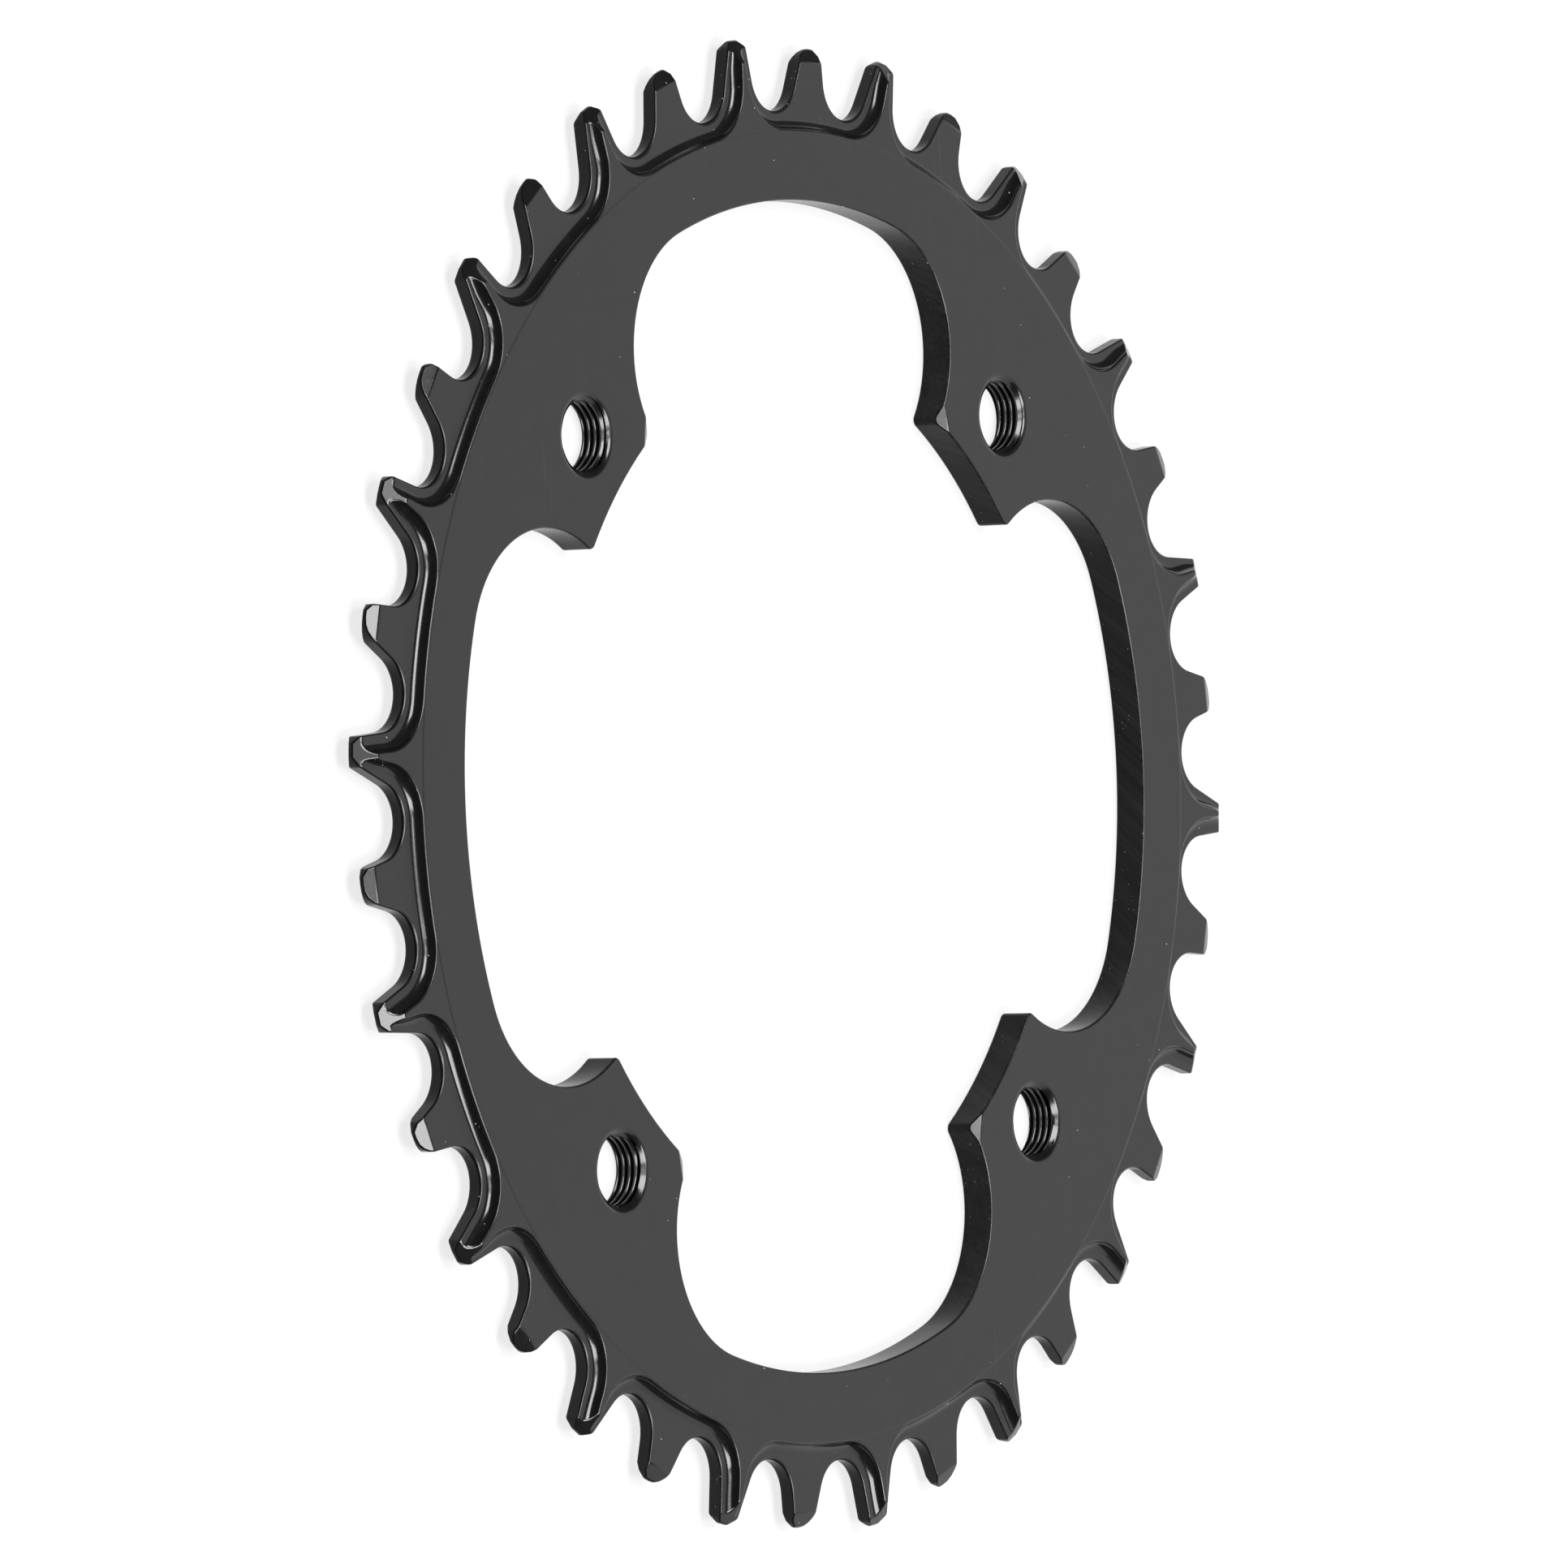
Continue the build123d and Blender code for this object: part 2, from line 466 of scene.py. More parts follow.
    def cut_slope(self, mesh: BMesh) -> None:
        """Cuts the slope above the tooth's end, with a round where it leaves the face, and marks its edges.

        Args:
            mesh: Mesh of the sector.
        """
        start = Vector((self.tip_radius - self.tip_bevel, 0, self.tooth_top))
        end = Vector((self.tip_radius, 0, self.tip_land / 2))
        steep = (end - start).angle(Vector((1, 0, 0)))
        centre = start - self.slope_radius * Vector((tan(steep / 2), 0, 1))
        for step in range(self.slope_steps, 0, -1):
            angle = steep * step / self.slope_steps
            normal = Vector((sin(angle), 0, cos(angle)))
            low = [face for face in mesh.faces if all(vert.co.z < start.z + JOIN for vert in face.verts)]
            slice_off(mesh, low, centre + self.slope_radius * normal, normal, Surface.TIP)
        slope = [face for face in mesh.faces if face.material_index == Surface.TIP]
        rim = dict.fromkeys(vert for face in slope for vert in face.verts)
        rim |= dict.fromkeys(edge.other_vert(vert) for vert in rim for edge in vert.link_edges)
        bmesh.ops.remove_doubles(mesh, verts=list(rim), dist=self.tip_round / 3)
        bmesh.ops.recalc_face_normals(mesh, faces=mesh.faces)
        edges = {edge for face in mesh.faces if face.material_index == Surface.TIP for edge in face.edges}
        mark(mesh, (edge for edge in edges if edge.calc_face_angle(0.0) > steep / 2), self.tip_round)
        upright = (edge for edge in mesh.edges if (edge.verts[0].co - edge.verts[1].co).to_2d().length < JOIN)
        corners = [edge for edge in upright if edge.calc_face_angle(0.0) > radians(self.corner_angle)]
        mark(mesh, corners, self.corner_round)

    def build(self) -> BMesh:
        """Builds the sector's upper half.

        Returns:
            The mesh, open at the middle plane, at both gaps and at the seam with the ring's inner part.
        """
        mesh = start_mesh()
        half = self.step / 2
        seam = Outline(mesh, polar(self.seam_radius, -half, self.top)).arc(Vector(), self.step, self.rim_step)
        levels = [self.draw_rim(mesh, offset, height) for offset, height in self.cove_levels()]
        tooth = self.draw_tooth(mesh)
        sides = [link(mesh, seam.first, levels[0].first), link(mesh, seam.last, levels[0].last)]
        fill(mesh, [*seam.edges, *sides, *levels[0].edges], Surface.FACE)
        for upper, lower in pairwise(levels):
            bridge(mesh, upper, lower, Surface.COVE)
        sides = [link(mesh, levels[-1].first, tooth.first), link(mesh, levels[-1].last, tooth.last)]
        fill(mesh, [*levels[-1].edges, *sides, *tooth.edges], Surface.FACE)
        drop(mesh, tooth.edges, self.shelf, Surface.TOOTH_WALL)
        mark(mesh, levels[0].edges, self.top_round)
        self.mark_tooth(mesh, tooth.edges)
        self.cut_slope(mesh)
        return mesh


@dataclass
class NarrowTooth(Tooth):
    """Thin tooth in its pocket, with a round shoulder on the relief side."""

    shoulder_radius: float = 2.4
    shoulder_step: float = 18.0
    tip_round: float = 0.17
    slope_steps: int = 1

    def draw_rim(self, mesh: BMesh, offset: float, height: float) -> Outline:
        """Draws one level of the pocket's wall, a plain arc behind the tooth.

        Args:
            mesh: Mesh that gets the outline.
            offset: Distance from the wall's upper edge in plan.
            height: Height of the level.

        Returns:
            The outline.
        """
        radius = self.pitch_radius - self.pocket_radius + offset
        return Outline(mesh, polar(radius, -self.step / 2, height)).arc(Vector(), self.step, self.rim_step)

    def draw_tip(self, outline: Outline) -> None:
        """Draws a cut corner, the end and the round shoulder.

        Args:
            outline: Outline of the tooth, which stands at the foot of the drive flank.
        """
        drive = self.tooth_flank(Flank.DRIVE, self.tip_radius)
        relief = self.tooth_flank(Flank.RELIEF, self.tip_radius)
        lean = self.leans[Flank.RELIEF]
        inset = self.shoulder_radius * tan(radians(90 - lean) / 2)
        outline.line(self.tooth_flank(Flank.DRIVE, self.tip_radius - self.tip_corner))
        outline.line(drive + Vector((0, self.tip_corner, 0)))
        shoulder = relief - Vector((0, inset, 0))
        outline.line(shoulder)
        outline.arc(shoulder - Vector((self.shoulder_radius, 0, 0)), 90 - lean, self.shoulder_step)


@dataclass
class WideTooth(Tooth):
    """Tooth with a rib that keeps the ring's full thickness."""

    tip_rise: float = 3.55
    tip_land: float = 0.4
    tip_bevel: float = 2.35
    rib_lean: float = 6.0
    rib_joint: float = 73.6
    rib_end: float = 75.52
    edge_room: float = 0.46

    @property
    def tooth_top(self) -> float:
        """Height from which the slope at the tooth's end starts."""
        return self.top

    def rib_flank(self, flank: Flank, offset: float, reach: float, height: float) -> Vector:
        """Point of the rib's hollow side, which narrows to stay clear of the tooth's own edge.

        Args:
            flank: Side of the tooth.
            offset: Distance from the side's upper edge in plan.
            reach: Distance along the tooth.
            height: Height of the level.

        Returns:
            The point.
        """
        width = self.cove_levels()[-1][0]
        side = self.half_width(flank, self.pocket_radius, self.rib_lean, reach)
        room = self.half_width(flank, self.seat_radius, self.leans[flank], reach) - self.edge_room - side
        side += min(room, width / cos(radians(self.rib_lean))) * offset / width
        return Vector((reach, flank.value * side, height))

    def draw_rim(self, mesh: BMesh, offset: float, height: float) -> Outline:
        """Draws one level of the walls of the two pockets and of the rib between them.

        Args:
            mesh: Mesh that gets the outline.
            offset: Distance from the wall's upper edge in plan.
            height: Height of the level.

        Returns:
            The outline.
        """
        radius = self.pocket_radius - offset
        turn = self.foot_turn(Flank.DRIVE, self.rib_lean)
        reaches = [self.foot_reach(Flank.DRIVE, radius, self.rib_lean), self.rib_joint, self.rib_end]
        outline = Outline(mesh, polar(self.pitch_radius - radius, -self.step / 2, height))
        outline.arc(self.roller(Flank.DRIVE), turn, self.arc_step)
        for reach in reaches[1:]:
            outline.line(self.rib_flank(Flank.DRIVE, offset, reach, height))
        for reach in reversed(reaches):
            outline.line(self.rib_flank(Flank.RELIEF, offset, reach, height))
        return outline.arc(self.roller(Flank.RELIEF), turn, self.arc_step)

    def draw_tip(self, outline: Outline) -> None:
        """Draws the end with its two cut corners.

        Args:
            outline: Outline of the tooth, which stands at the foot of the drive flank.
        """
        for flank, first in ((Flank.DRIVE, True), (Flank.RELIEF, False)):
            corner = self.tooth_flank(flank, self.tip_radius) - Vector((0, flank.value * self.tip_corner, 0))
            side = self.tooth_flank(flank, self.tip_radius - self.tip_corner)
            outline.line(side if first else corner)
            outline.line(corner if first else side)


def append(target: BMesh, source: BMesh) -> None:
    """Moves one mesh into another.

    Args:
        target: Mesh that grows.
        source: Mesh that is used up.
    """
    carrier = bpy.data.meshes.new("carrier")
    source.to_mesh(carrier)
    source.free()
    target.from_mesh(carrier)
    bpy.data.meshes.remove(carrier)


def everything(mesh: BMesh) -> list[Any]:
    """All vertices, edges and faces of a mesh."""
    return [*mesh.verts, *mesh.edges, *mesh.faces]


def repeat(mesh: BMesh, count: int) -> None:
    """Sets equal copies of a mesh round the ring's axis and joins them.

    Args:
        mesh: Mesh of one sector.
        count: Number of sectors in the whole ring.
    """
    bmesh.ops.spin(
        mesh,
        geom=everything(mesh),
        axis=UP,
        angle=2 * pi * (count - 1) / count,
        steps=count - 1,
        use_duplicate=True,
    )
    bmesh.ops.remove_doubles(mesh, verts=mesh.verts, dist=JOIN)


def turn(mesh: BMesh, angle: float) -> None:
    """Turns a mesh about the ring's axis by an angle in degrees."""
    bmesh.ops.rotate(mesh, verts=mesh.verts, matrix=Matrix.Rotation(radians(angle), 3, UP))


@dataclass
class TappedHole:
    """Bolt hole with its thread and the wide soft mouth on the outer face, in millimetres and degrees."""

    centre: Vector
    minor_radius: float
    thickness: float
    mouth_radius: float = 4.28
    mouth_angle: float = 30.0
    mouth_round: float = 0.22
    back_radius: float = 4.1
    back_edge: float = 0.1
    pitch: float = 0.75
    steps: int = 96

    @property
    def groove(self) -> float:
        """Depth of the thread, five eighths of a sixty degree triangle."""
        return 5 / 8 * self.pitch * cos(radians(30))

    @property
    def lip_height(self) -> float:
        """Height at which the mouth's cone passes just outside the thread."""
        width = self.mouth_radius - self.minor_radius - self.groove
        return self.thickness / 2 - width * tan(radians(self.mouth_angle)) + 2 * CUT

    def cone_radius(self, height: float) -> float:
        """Radius of the mouth's cone at a height above the middle plane."""
        return self.mouth_radius - (self.thickness / 2 - height) / tan(radians(self.mouth_angle))

    def draw_mouth(self, mesh: BMesh) -> list[BMEdge]:
        """Draws the circle of the mouth on the ring's face.

        Args:
            mesh: Mesh of the ring's inner part.

        Returns:
            Edges of the circle.
        """
        place = Matrix.Translation(self.centre + self.thickness / 2 * UP)
        circle = bmesh.ops.create_circle(mesh, segments=self.steps, radius=self.mouth_radius, matrix=place)
        return list(dict.fromkeys(edge for vert in circle["verts"] for edge in vert.link_edges))

    def open_edges(self, mesh: BMesh, side: int) -> list[BMEdge]:
        """Finds the open edges round the hole.

        Args:
            mesh: Mesh of the ring's inner part.
            side: 1 for the outer half of the ring, -1 for the back half.

        Returns:
            The edges.
        """
        reach = self.mouth_radius + JOIN
        edges = [edge for edge in mesh.edges if edge.is_boundary and side * edge.verts[0].co.z > 0]
        return [edge for edge in edges if (middle(edge) - self.centre).to_2d().length < reach]

    def draw_in(
        self, mesh: BMesh, circle: list[BMEdge], radius: float, depth: float, surface: Surface
    ) -> None:
        """Draws a mouth's surface in from its circle.

        Args:
            mesh: Mesh of the ring's inner part.
            circle: Edges of the mouth's circle.
            radius: Inner radius of the surface.
            depth: Depth of its inner edge below the circle.
            surface: Finish of the surface.
        """
        inner = drop(mesh, circle, depth, surface)
        verts = list(dict.fromkeys(vert for edge in inner for vert in edge.verts))
        shrink = radius / self.mouth_radius
        bmesh.ops.scale(mesh, verts=verts, vec=(shrink, shrink, 1), space=Matrix.Translation(-self.centre))

    def build_thread(self) -> BMesh:
        """Winds the thread through the ring.

        Returns:
            Mesh of the thread from the outer mouth to the back.
        """
        mesh = start_mesh()
        turns = ceil(self.thickness / self.pitch) + 2
        crest = self.pitch / 4
        root = self.pitch / 8
        slope = (self.pitch - crest - root) / 2
        profile = Outline(mesh, self.centre + Vector((self.minor_radius, 0, -turns * self.pitch / 2)))
        for _ in range(turns):
            for out, along in ((0, crest), (self.groove, slope), (0, root), (-self.groove, slope)):
                profile.line(profile.last.co + Vector((out, 0, along)))
        bmesh.ops.subdivide_edges(mesh, edges=mesh.edges, cuts=1)
        rise = self.pitch / self.steps * UP
        bmesh.ops.spin(
            mesh, geom=everything(mesh), cent=self.centre, axis=UP, dvec=rise, angle=2 * pi, steps=self.steps
        )
        bmesh.ops.remove_doubles(mesh, verts=mesh.verts, dist=JOIN)
        for vert in mesh.verts:
            arm = (vert.co - self.centre).to_2d()
            reach = max(arm.length, self.cone_radius(vert.co.z))
            vert.co.xy = self.centre.xy + arm.normalized() * reach
        for height, side in ((self.lip_height, 1), (self.back_edge - self.thickness / 2, -1)):
            end = self.centre + height * UP
            bmesh.ops.bisect_plane(
                mesh, geom=everything(mesh), dist=CUT, plane_co=end, plane_no=side * UP, clear_outer=True
            )
        ends = [vert for vert in mesh.verts if vert.is_boundary]
        bmesh.ops.remove_doubles(mesh, verts=ends, dist=self.pitch / 6)
        for face in mesh.faces:
            face.material_index = Surface.THREAD
        return mesh

    def build(self, mesh: BMesh) -> None:
        """Sinks the outer mouth and sets the thread between it and the back.

        Args:
            mesh: Mesh of the ring's inner part, open at both circles.
        """
        outer = self.open_edges(mesh, 1)
        height = self.lip_height + 10 * CUT
        self.draw_in(mesh, outer, self.cone_radius(height), self.thickness / 2 - height, Surface.COVE)
        mark(mesh, outer, self.mouth_round)
        self.draw_in(mesh, self.open_edges(mesh, -1), self.back_radius, 0, Surface.FACE)
        append(mesh, self.build_thread())
        for side in (-1, 1):
            for face in bmesh.ops.bridge_loops(mesh, edges=self.open_edges(mesh, side))["faces"]:
                face.material_index = Surface.THREAD


@dataclass
class BoltTab:
    """Part of the ring inside the seam: one bolt tab and half a window on each side of it.

    Lengths are in millimetres and angles in degrees. The tab points from +X to the axis.
    """

    thickness: float
    seam_radius: float
    window_radius: float
    bolt_radius: float
    bolt_count: int
    hole: TappedHole
    tab_reach: float = 7.65
    tab_width: float = 16.0
    scallop_radius: float = 12.9
    corner_radius: float = 0.8
    edge_round: float = 0.22
    neck_turn: float = 12.0
    rim_step: float = 1.0
    end_step: float = 2.0
    scallop_step: float = 4.0
    corner_step: float = 12.0
    facet_length: float = 1.6
    facet_depth: float = 0.85
    facet_round: float = 0.15

    @property
    def half_step(self) -> float:
        """Angle from the tab to the middle of a window."""
        return 180 / self.bolt_count

    @property
    def end_radius(self) -> float:
        """Radius of the tab's end."""
        return self.bolt_radius - self.tab_reach

    @property
    def scallop_reach(self) -> float:
        """Distance of a scallop's centre from the ring's axis."""
        return self.window_radius - self.scallop_radius

    @property
    def scallop_angle(self) -> float:
        """Angle from the tab to a scallop's centre."""
        return degrees(asin((self.tab_width / 2 + self.scallop_radius) / self.scallop_reach))

    def corner_angle(self, offset: float) -> float:
        """Angle from the tab to the corner of its end, with tab and scallop set back by an offset.

        Args:
            offset: Distance that both are set back into the metal.

        Returns:
            Angle in degrees.
        """
        end = self.end_radius + offset
        scallop = self.scallop_radius + offset
        closing = (end**2 + self.scallop_reach**2 - scallop**2) / (2 * end * self.scallop_reach)
        return self.scallop_angle - degrees(acos(closing))

    def build(self) -> BMesh:
        """Builds the tab.

        Returns:
            The mesh, open at the seam and at the middles of both windows.
        """
        mesh = start_mesh()
        top = self.thickness / 2
        half = self.half_step
        corner_angle = self.corner_angle(self.corner_radius)
        scallops = [polar(self.scallop_reach, side * self.scallop_angle) for side in (-1, 1)]
        corners = [polar(self.end_radius + self.corner_radius, side * corner_angle) for side in (-1, 1)]
        aim = heading(scallops[0], corners[0])
        scallop_turn = aim + self.scallop_angle
        corner_turn = aim + corner_angle

        outline = Outline(mesh, polar(self.window_radius, -half, top))
        outline.arc(Vector(), half - self.scallop_angle, self.rim_step)
        outline.arc(scallops[0], scallop_turn - self.neck_turn, self.scallop_step)
        necks = [outline.last]
        end_start = len(outline.edges)
        outline.arc(scallops[0], self.neck_turn, self.scallop_step)
        outline.arc(corners[0], -corner_turn, self.corner_step)
        outline.arc(Vector(), 2 * corner_angle, self.end_step)
        outline.arc(corners[1], -corner_turn, self.corner_step)
        outline.arc(scallops[1], self.neck_turn, self.scallop_step)
        necks.append(outline.last)
        end = outline.edges[end_start:]
        outline.arc(scallops[1], scallop_turn - self.neck_turn, self.scallop_step)
        outline.arc(Vector(), half - self.scallop_angle, self.rim_step)
        seam = Outline(mesh, polar(self.seam_radius, -half, top)).arc(Vector(), half, self.rim_step)
        seam_middle = seam.last
        seam.arc(Vector(), half, self.rim_step)

        neck = Outline(mesh, Vector((necks[0].co.x, 0, top)))
        throat = [link(mesh, neck.first, vert) for vert in necks]
        circle = self.hole.draw_mouth(mesh)
        around = dict.fromkeys(vert for edge in circle for vert in edge.verts)
        rim = sorted(around, key=lambda vert: vert.co.x)
        spokes = [link(mesh, neck.first, rim[0]), link(mesh, rim[-1], seam_middle)]
        sides = [link(mesh, seam.first, outline.first), link(mesh, seam.last, outline.last)]
        drawn = [*outline.edges, *seam.edges, *circle, *sides, *throat]
        fill(mesh, [*end, *throat], Surface.FACE)
        for side in (-1, 1):
            half_face = [edge for edge in drawn if edge not in end and side * middle(edge).y > 0]
            fill(mesh, [*half_face, *spokes], Surface.FACE)
        drop(mesh, outline.edges, top, Surface.WINDOW_WALL)
        mark(mesh, outline.edges, self.edge_round)
        reflect(mesh)
        self.hole.build(mesh)
        return mesh

    def cut_facet(self, mesh: BMesh, tab_angle: float, side: int) -> None:
        """Cuts the sloping flat on one corner of a tab.

        Args:
            mesh: Mesh of the whole ring.
            tab_angle: Angle of the tab.
            side: 1 for the corner counter-clockwise of the bolt hole, -1 for the other.
        """
        angle = self.corner_angle(0)
        scallop = polar(self.scallop_reach, self.scallop_angle)
        corner = polar(self.end_radius, angle)
        along_side = (corner - scallop).normalized().cross(-UP)
        along_end = polar(1, angle - 90)
        inward = (along_side + along_end).normalized()
        normal = self.facet_depth * -inward + self.facet_length * UP
        point = corner + self.facet_length * inward + self.thickness / 2 * UP
        flip = Matrix.Scale(side, 3, Vector((0, 1, 0)))
        place = Matrix.Rotation(radians(tab_angle), 3, UP) @ flip
        reach = self.bolt_radius - self.hole.minor_radius
        axis = polar(1, tab_angle)
        faces = [face for face in mesh.faces if all(v.co.dot(axis) > self.end_radius / 2 for v in face.verts)]
        faces = [face for face in faces if all(v.co.xy.length < reach for v in face.verts)]
        facet = slice_off(mesh, faces, place @ point, place @ normal, Surface.COVE)
        mark(mesh, facet[0].edges, self.facet_round)


def reflect(mesh: BMesh) -> None:
    """Adds the half of a mesh below the middle plane."""
    bmesh.ops.mirror(mesh, geom=everything(mesh), axis="Z", merge_dist=JOIN)


@dataclass
class Chainring:
    """The whole ring, in one piece, in millimetres and degrees."""

    thickness: float
    bolt_radius: float
    bolt_count: int
    hole_radius: float
    first_bolt_angle: float = 45.0
    seam_radius: float = 64.0
    rim_width: float = 9.14
    sharp_angle: float = 28.0
    round_segments: int = 4

    def build(self) -> Object:
        """Builds the ring as one closed mesh.

        Returns:
            The ring, in metres and in the frame's place.
        """
        narrow = NarrowTooth(self.thickness, self.seam_radius)
        wide = WideTooth(self.thickness, self.seam_radius)
        hole = TappedHole(Vector((self.bolt_radius, 0, 0)), self.hole_radius, self.thickness)
        window = narrow.pitch_radius - narrow.seat_radius - self.rim_width
        tab = BoltTab(self.thickness, self.seam_radius, window, self.bolt_radius, self.bolt_count, hole)

        ring = wide.build()
        turn(ring, wide.step)
        append(ring, narrow.build())
        bmesh.ops.remove_doubles(ring, verts=ring.verts, dist=JOIN)
        reflect(ring)
        repeat(ring, narrow.tooth_count // 2)
        inside = tab.build()
        repeat(inside, self.bolt_count)
        append(ring, inside)
        bmesh.ops.remove_doubles(ring, verts=ring.verts, dist=JOIN)
        seam = [edge for edge in ring.edges if all(abs(vert.co.z) < JOIN for vert in edge.verts)]
        bmesh.ops.dissolve_edges(ring, edges=seam, use_verts=True)
        bmesh.ops.recalc_face_normals(ring, faces=ring.faces)
        turn(ring, self.first_bolt_angle)
        for place in range(self.bolt_count):
            angle = self.first_bolt_angle + 2 * place * tab.half_step
            tab.cut_facet(ring, angle, 1 if place % 2 == 0 else -1)
        bmesh.ops.recalc_face_normals(ring, faces=ring.faces)
        bmesh.ops.translate(ring, verts=ring.verts, vec=self.thickness / 2 * UP)
        bmesh.ops.scale(ring, verts=ring.verts, vec=(MM, MM, MM))

        mesh = bpy.data.meshes.new("toothed_ring")
        ring.to_mesh(mesh)
        ring.free()
        piece = bpy.data.objects.new("toothed_ring", mesh)
        bpy.context.scene.collection.objects.link(piece)
        return piece

    def dress(self, piece: Object, effects: Effects) -> None:
        """Gives the ring its finishes and smooth shading.

        Args:
            piece: The ring.
            effects: Shared node groups.
        """
        for surface in Surface:
            piece.data.materials.append(FINISHES[surface].build(effects))
        piece.data.shade_smooth()
        piece.data.set_sharp_from_angle(angle=radians(self.sharp_angle))
        rounded = piece.modifiers.new("rounded_edges", "BEVEL")
        rounded.limit_method = "WEIGHT"
        rounded.offset_type = "OFFSET"
        rounded.width = WIDEST_ROUND * MM
        rounded.segments = self.round_segments
        rounded.use_clamp_overlap = False
        weighted = piece.modifiers.new("flat_faces_stay_flat", "WEIGHTED_NORMAL")
        weighted.keep_sharp = True
        weighted.weight = 100


class Sheet:
    """Node tree of a material, a group or the world, filled through short calls."""

    def __init__(self, tree: NodeTree) -> None:
        """Empties the tree.

        Args:
            tree: Node tree to fill.
        """
        self.tree = tree
        tree.nodes.clear()

    def node(self, kind: str, inputs: dict[str | int, Any] | None = None, **settings: Any) -> Node:
        """Adds a node.

        Args:
            kind: Type of the node.
            inputs: Values or sockets for the node's inputs.
            **settings: Properties of the node.

        Returns:
            The node.
        """
        node = self.tree.nodes.new(kind)
        for name, value in settings.items():
            setattr(node, name, value)
        for name, value in (inputs or {}).items():
            if isinstance(value, NodeSocket):
                self.tree.links.new(value, node.inputs[name])
            else:
                node.inputs[name].default_value = value
        return node

    def math(self, operation: str, first: Any, second: Any = 0.0, clamp: bool = False) -> NodeSocket:
        """Adds a sum of two values.

        Args:
            operation: Kind of sum.
            first: First value or socket.
            second: Second value or socket.
            clamp: Whether the result stays between 0 and 1.

        Returns:
            Socket of the result.
        """
        node = self.node("ShaderNodeMath", {0: first, 1: second}, operation=operation, use_clamp=clamp)
        return node.outputs[0]

    def ramp(self, value: NodeSocket, low: float, high: float) -> NodeSocket:
        """Adds a smooth step between two values.

        Args:
            value: Socket to read.
            low: Value that becomes 0.
            high: Value that becomes 1.

        Returns:
            Socket of the step.
        """
        inputs = {"Value": value, "From Min": low, "From Max": high}
        return self.node("ShaderNodeMapRange", inputs, interpolation_type="SMOOTHSTEP").outputs[0]

    def mix(self, share: Any, first: Any, second: Any) -> NodeSocket:
        """Adds a mix of two colours.

        Args:
            share: Share of the second colour.
            first: First colour or socket.
            second: Second colour or socket.

        Returns:
            Socket of the mixed colour.
        """
        inputs = {0: share, 6: first, 7: second}
        return self.node("ShaderNodeMix", inputs, data_type="RGBA").outputs[2]

    def noise(self, place: NodeSocket, scale: Any, detail: float = 2.0) -> NodeSocket:
        """Adds a noise pattern.

        Args:
            place: Socket of the coordinates.
            scale: Cells for each metre.
            detail: Finer layers.

        Returns:
            Socket of the pattern's value.
        """
        inputs = {"Vector": place, "Scale": scale, "Detail": detail}
        return self.node("ShaderNodeTexNoise", inputs).outputs[0]


def start_group(
    name: str, inputs: dict[str, float], outputs: Iterable[str]
) -> tuple[Sheet, Node, Node]:
    """Starts a shader node group.

    Args:
        name: Name of the group.
        inputs: Names of its number inputs with their first values, after a first input for coordinates.
        outputs: Names of its number outputs.

    Returns:
        The group's sheet, its input node and its output node.
    """
    tree = bpy.data.node_groups.new(name, "ShaderNodeTree")
    tree.interface.new_socket("Place", in_out="INPUT", socket_type="NodeSocketVector")
    for key, value in inputs.items():
        socket = tree.interface.new_socket(key, in_out="INPUT", socket_type="NodeSocketFloat")
        socket.default_value = value
    for key in outputs:
        tree.interface.new_socket(key, in_out="OUTPUT", socket_type="NodeSocketFloat")
    sheet = Sheet(tree)
    return sheet, sheet.node("NodeGroupInput"), sheet.node("NodeGroupOutput")


@dataclass(frozen=True)
class Grain:
    """Fine matt grain of the anodised skin with broad cloudy tone, in cells for each metre."""

    fine: float = 9000.0
    broad: float = 55.0
    fine_share: float = 0.35

    def build(self) -> NodeTree:
        """Builds the group.

        Returns:
            The group, with outputs Height and Tone.
        """
        sheet, given, result = start_group("anodised_grain", {}, ("Height", "Tone"))
        fine = sheet.noise(given.outputs["Place"], self.fine, 3.0)
        broad = sheet.noise(given.outputs["Place"], self.broad)
        small = sheet.math("MULTIPLY", fine, self.fine_share)
        tone = sheet.math("ADD", small, sheet.math("MULTIPLY", broad, 1 - self.fine_share))
        sheet.tree.links.new(fine, result.inputs["Height"])
        sheet.tree.links.new(tone, result.inputs["Tone"])
        return sheet.tree


@dataclass(frozen=True)
class Milling:
    """Slanting streaks that a cutter leaves on a wall, in cells and radians for each metre; on the window
    walls their tone is painted sheen.
    """

    streaks: float = 2600.0
    bands: float = 420.0
    slant: float = 14.4
    stretch: float = 0.06

    def build(self) -> NodeTree:
        """Builds the group.

        Returns:
            The group, with outputs Height and Tone.
        """
        sheet, given, result = start_group("milling_streaks", {}, ("Height", "Tone"))
        split = sheet.node("ShaderNodeSeparateXYZ", {0: given.outputs["Place"]})
        twist = sheet.math("MULTIPLY", split.outputs["Z"], self.slant)
        inputs = {"Vector": given.outputs["Place"], "Angle": twist}
        turned = sheet.node("ShaderNodeVectorRotate", inputs, rotation_type="Z_AXIS").outputs[0]
        inputs = {0: turned, 1: (1.0, 1.0, self.stretch)}
        flat = sheet.node("ShaderNodeVectorMath", inputs, operation="MULTIPLY").outputs[0]
        streaks = sheet.noise(flat, self.streaks)
        tone = sheet.math("MULTIPLY", streaks, sheet.noise(flat, self.bands, 1.0))
        sheet.tree.links.new(streaks, result.inputs["Height"])
        sheet.tree.links.new(tone, result.inputs["Tone"])
        return sheet.tree


